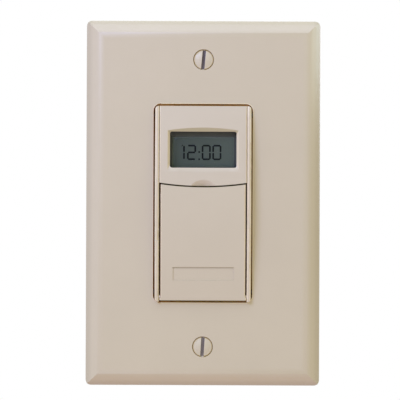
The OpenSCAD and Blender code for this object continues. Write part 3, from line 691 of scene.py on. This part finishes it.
def thread_tree():
    """Threads: a helix of ridge along Y at every point of the incoming mesh."""
    tree = bpy.data.node_groups.new("screw_thread", "GeometryNodeTree")
    socket_in(tree, "Places", "NodeSocketGeometry", None)
    socket_in(tree, "Turns", "NodeSocketFloat", 8.0)
    socket_in(tree, "Length", "NodeSocketFloat", 8 * MM)
    socket_in(tree, "Ridge radius", "NodeSocketFloat", 1.4 * MM)
    socket_in(tree, "Ridge size", "NodeSocketFloat", RIDGE)
    socket_in(tree, "Material", "NodeSocketMaterial", None)
    tree.interface.new_socket("Threads", in_out="OUTPUT", socket_type="NodeSocketGeometry")
    given = add(tree, "NodeGroupInput").outputs
    helix = add(tree, "GeometryNodeCurveSpiral", {
        "Resolution": 20, "Rotations": given["Turns"], "Start Radius": given["Ridge radius"],
        "End Radius": given["Ridge radius"], "Height": given["Length"],
    })
    ridge = add(tree, "GeometryNodeCurvePrimitiveCircle", {"Resolution": 4, "Radius": given["Ridge size"]})
    swept = add(tree, "GeometryNodeCurveToMesh", {
        "Curve": helix.outputs[0], "Profile Curve": ridge.outputs[0], "Fill Caps": True,
    })
    laid = add(tree, "GeometryNodeTransform", {
        "Geometry": swept.outputs[0], "Rotation": (-math.pi / 2, 0, 0),
    })
    spread = add(tree, "GeometryNodeInstanceOnPoints", {
        "Points": given["Places"], "Instance": laid.outputs[0],
    })
    real = add(tree, "GeometryNodeRealizeInstances", {"Geometry": spread.outputs[0]})
    painted = add(tree, "GeometryNodeSetMaterial", {
        "Geometry": real.outputs[0], "Material": given["Material"],
    })
    result = add(tree, "NodeGroupOutput")
    tree.links.new(painted.outputs[0], result.inputs[0])
    return tree


THREADS = thread_tree()


def threads(points, run, radius, material):
    """Threads of a run and outer radius that start at each point and go along Y."""
    places = bpy.data.meshes.new("thread_places")
    places.from_pydata(points, [], [])
    values = {
        "Turns": run / THREAD_PITCH, "Length": run, "Ridge radius": radius - RIDGE, "Ridge size": RIDGE,
        "Material": material,
    }

    def modifiers(holder):
        modifier = holder.modifiers.new("threads", "NODES")
        modifier.node_group = THREADS
        for item in THREADS.interface.items_tree:
            if item.in_out == "INPUT" and item.name in values:
                modifier[item.identifier] = values[item.name]
    return evaluated(places, modifiers)


def screw_places(node):
    """Both screws of a pair that stands one above the other."""
    low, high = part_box(node)
    radius = (high.x - low.x) / 2
    return [(0, 0, low.z + radius), (0, 0, high.z - radius)]


def slim_shanks(mesh, places, shank, start):
    """Draws in the screws' shanks behind a start along Y, to the core that the thread goes round."""
    for vertex in mesh.vertices:
        offsets = [Vector((vertex.co.x - x, 0, vertex.co.z - z)) for x, y, z in places]
        across = min(offsets, key=lambda offset: offset.length)
        if vertex.co.y > start and abs(across.length - shank) < SHANK_SLACK:
            vertex.co -= across * (CORE_CUT / across.length)


def threaded_screws(node, shank, start, end, edge, slots=None):
    """A pair of screws: rounded heads, a slimmer core and a thread round it from start to end along Y."""
    places = screw_places(node)
    mesh = merged(node)
    if slots:
        paint_faces(mesh, slot_metal, slots)
    slim_shanks(mesh, places, shank, start)
    mesh = rounded(mesh, edge)
    thread = threads([(x, start, z) for x, y, z in places], end - start, shank, slot_metal)
    ridge_index = mesh.materials.find(slot_metal.name)
    if ridge_index < 0:
        mesh.materials.append(slot_metal)
        ridge_index = len(mesh.materials) - 1
    work = bmesh.new()
    work.from_mesh(mesh)
    first = len(work.faces)
    work.from_mesh(thread)
    work.faces.ensure_lookup_table()
    for face in work.faces[first:]:
        face.material_index = ridge_index
    work.to_mesh(mesh)
    work.free()
    stand_in("threaded_", node, mesh)


def in_slot(middle, normal):
    """A plate screw's slot: below the dome's face and close to its middle line."""
    depth = middle.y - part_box("plate_screws")[0].y
    wall_or_floor = abs(normal.x) > SQUARE or depth > SLOT_FLOOR
    return abs(middle.x) < SLOT_SIDE and depth < SLOT_DEEPEST and wall_or_floor


threaded_screws("plate_screws", 1.7 * MM, start=-2.4 * MM, end=5 * MM, edge=0.12 * MM, slots=in_slot)
threaded_screws("box_screws", 1.75 * MM, start=0.6 * MM, end=18.6 * MM, edge=0.15 * MM)


# Display digits

DIGIT_W = 3.05 * MM
DIGIT_H = 5.15 * MM
BAR = 0.56 * MM
BAR_TAPER = 0.11 * MM
BAR_GAP = 0.13 * MM
CORNER_CUT = 0.36 * MM
DIGITS_LOW = 14.55 * MM
INK_DEPTH = 0.03 * MM
LIT = {"0": "abcdef", "1": "bcj", "2": "abged"}
CLOCK = (("1", -9.25 * MM), ("2", -5.45 * MM), ("0", -0.5 * MM), ("0", 3.08 * MM))
COLON_X = -1.62 * MM
COLON_Z = (DIGITS_LOW, DIGITS_LOW + 2.45 * MM)
COLON_SIZE = 0.54 * MM
COLON_CORNERS = ((0, 0), (1, 0), (1, 1), (0, 1))
FLAG_REACH = 0.75 * MM
FLAG_DROP = 0.6 * MM


def tapered(size):
    """A level bar from its left end, with pointed ends."""
    return [(0, BAR / 2), (BAR_TAPER, 0), (size - BAR_TAPER, 0), (size, BAR / 2), (size - BAR_TAPER, BAR),
            (BAR_TAPER, BAR)]


def bar_outline(name):
    """One bar of a seven-bar digit, as points of [x, z] from the digit's lower left corner. Bar j is the flag
    of a 1."""
    half = DIGIT_H / 2
    right = DIGIT_W - BAR
    if name == "j":
        return [(right - FLAG_REACH, DIGIT_H - FLAG_DROP), (right - BAR_GAP / 2, DIGIT_H - FLAG_DROP / 2),
                (right - BAR_GAP / 2, DIGIT_H), (right - FLAG_DROP / 2, DIGIT_H)]
    level = [(x + CORNER_CUT, z) for x, z in tapered(DIGIT_W - 2 * CORNER_CUT)]
    upright = [(z, x + CORNER_CUT) for x, z in reversed(tapered(half - CORNER_CUT - BAR_GAP))]
    over = [(x, DIGIT_H - z) for x, z in reversed(upright)]
    places = {
        "d": (level, 0, 0), "g": (level, 0, half - BAR / 2), "a": (level, 0, DIGIT_H - BAR),
        "e": (upright, 0, 0), "c": (upright, right, 0), "f": (over, 0, 0), "b": (over, right, 0),
    }
    points, x, z = places[name]
    return [(px + x, pz + z) for px, pz in points]


def clock_outlines():
    """Outlines of all the bars and of the colon's two dots, where they lie on the display."""
    outlines = []
    for digit, left in CLOCK:
        for bar in LIT[digit]:
            outlines.append([(x + left, z + DIGITS_LOW) for x, z in bar_outline(bar)])
    for low in COLON_Z:
        outlines.append([(COLON_X + x * COLON_SIZE, low + z * COLON_SIZE) for x, z in COLON_CORNERS])
    return outlines


def clock_digits():
    """The time as thin bars of ink on the front of the display's film."""
    work = bmesh.new()
    for outline in clock_outlines():
        back = [work.verts.new((x, film_low.y, z)) for x, z in outline]
        front = [work.verts.new((x, film_low.y - INK_DEPTH, z)) for x, z in outline]
        work.faces.new(back)
        work.faces.new(front)
        for corner in range(len(outline)):
            work.faces.new((back[corner - 1], back[corner], front[corner], front[corner - 1]))
    bmesh.ops.recalc_face_normals(work, faces=work.faces)
    mesh = bpy.data.meshes.new("clock_digits")
    work.to_mesh(mesh)
    work.free()
    mesh.materials.append(lcd_ink)
    show("clock_digits", mesh, "frame")


clock_digits()


# Studio

WHITE = (1, 1, 1, 1)
FILL = (0.68, 0.73, 0.345, 1)

# What gloss and glass mirror is dim at the eye's side, and white where it lies well behind the object
STUDIO_DIM = 0.12
STUDIO_SIDE = 0.1
STUDIO_REAR = 0.7

# The floor is part white up to a near distance, and all white from a far one
FLOOR_PAINT = (0.8, 0.76, 0.98, 1)
FLOOR_GLOW = (0.785, 0.64, 0.58, 1)
FLOOR_REACH = 3.0
FLOOR_DROP = 190 * MM
FLOOR_NEAR = 0.3
FLOOR_FAR = 0.9
NEAR_WHITE = 0.4


def make_world():
    """White behind the object, also in its gloss and through its glass, a dim side behind the eye as in a
    studio, and a soft warm fill for its surfaces."""
    world = bpy.data.worlds.new("studio")
    world.use_nodes = True
    tree = world.node_tree
    background = next(n for n in tree.nodes if n.type == "BACKGROUND")
    path = add(tree, "ShaderNodeLightPath").outputs
    direct = number(tree, "LESS_THAN", path["Diffuse Depth"], SEEN)
    shiny = number(tree, "MAXIMUM", path["Is Glossy Ray"], path["Is Transmission Ray"])
    mirrored = number(tree, "MULTIPLY", shiny, direct)
    outward = add(tree, "ShaderNodeTexCoord").outputs["Generated"]
    studio = ramp(tree, axes(tree, outward)["Y"], STUDIO_SIDE, STUDIO_REAR, STUDIO_DIM)
    gloss = number(tree, "MULTIPLY", mirrored, studio)
    white = number(tree, "MAXIMUM", path["Is Camera Ray"], gloss)
    plain = number(tree, "MAXIMUM", path["Is Camera Ray"], mirrored)
    pale = add(tree, "ShaderNodeCombineColor", {"Red": white, "Green": white, "Blue": white}).outputs[0]
    tree.links.new(tint(tree, plain, FILL, pale), background.inputs["Color"])
    world.cycles.sampling_method = "NONE"
    scene.world = world


def softbox(name, place, size, power, colour, aim=(0, 0, 0), spread=math.radians(75)):
    """A square or oblong lamp that shines from a place to an aim."""
    light = bpy.data.lights.new(name, "AREA")
    light.shape = "RECTANGLE"
    light.size, light.size_y = size
    light.energy = power
    light.color = colour
    light.spread = spread
    lamp = bpy.data.objects.new(name, light)
    lamp.location = place
    lamp.visible_camera = False
    lamp.rotation_euler = (Vector(aim) - Vector(place)).to_track_quat("-Z", "Y").to_euler()
    scene.collection.objects.link(lamp)


def make_floor():
    """A pale floor that turns white far out, is dim in front where the lens mirrors it, and gives the object
    only a weak warm light from below."""
    mesh = bpy.data.meshes.new("floor")
    reach, level = FLOOR_REACH, plate_low.z - FLOOR_DROP
    corners = [(-reach, -reach, level), (reach, -reach, level), (reach, reach, level), (-reach, reach, level)]
    mesh.from_pydata(corners, [], [(0, 1, 2, 3)])
    material, tree, shader, place = new_material("pale_floor", {"Base Color": FLOOR_PAINT, "Roughness": 0.8})
    path = add(tree, "ShaderNodeLightPath").outputs
    unseen = number(tree, "GREATER_THAN", path["Diffuse Depth"], SEEN)
    front = number(tree, "LESS_THAN", axes(tree, place)["Y"], 0.0)
    in_lens = number(tree, "MULTIPLY", path["Is Transmission Ray"], front)
    studio = tint(tree, in_lens, WHITE, shade(WHITE, STUDIO_DIM))
    glow = tint(tree, unseen, studio, FLOOR_GLOW)
    white = add(tree, "ShaderNodeEmission", {"Color": glow, "Strength": 1.0})
    fade = ramp(tree, length(tree, place), FLOOR_NEAR, FLOOR_FAR, NEAR_WHITE)
    mixed_surface(tree, number(tree, "MAXIMUM", fade, unseen), shader, white)
    material.cycles.emission_sampling = "NONE"
    mesh.materials.append(material)
    floor = bpy.data.objects.new("floor", mesh)
    scene.collection.objects.link(floor)


make_world()
make_floor()
softbox("key", (-0.32, -0.4, 0.32), (0.29, 0.29), 0.485, (0.46, 0.54, 1))
softbox("top", (0.0, -0.22, 0.7), (0.6, 0.4), 0.37, (0.74, 0.72, 1))
softbox("side", (0.13, 0.0, 0.075), (0.05, 0.05), 0.0048, (0.7, 0.88, 1),
        aim=(0.0385, -0.003, 0.062), spread=math.radians(60))
softbox("rear_left", (-0.7, 0.8, 0.5), (0.5, 0.5), 1.0, (0.75, 0.78, 1))
softbox("rear_right", (0.8, 0.7, 0.3), (0.5, 0.5), 0.7, (0.75, 0.78, 1))
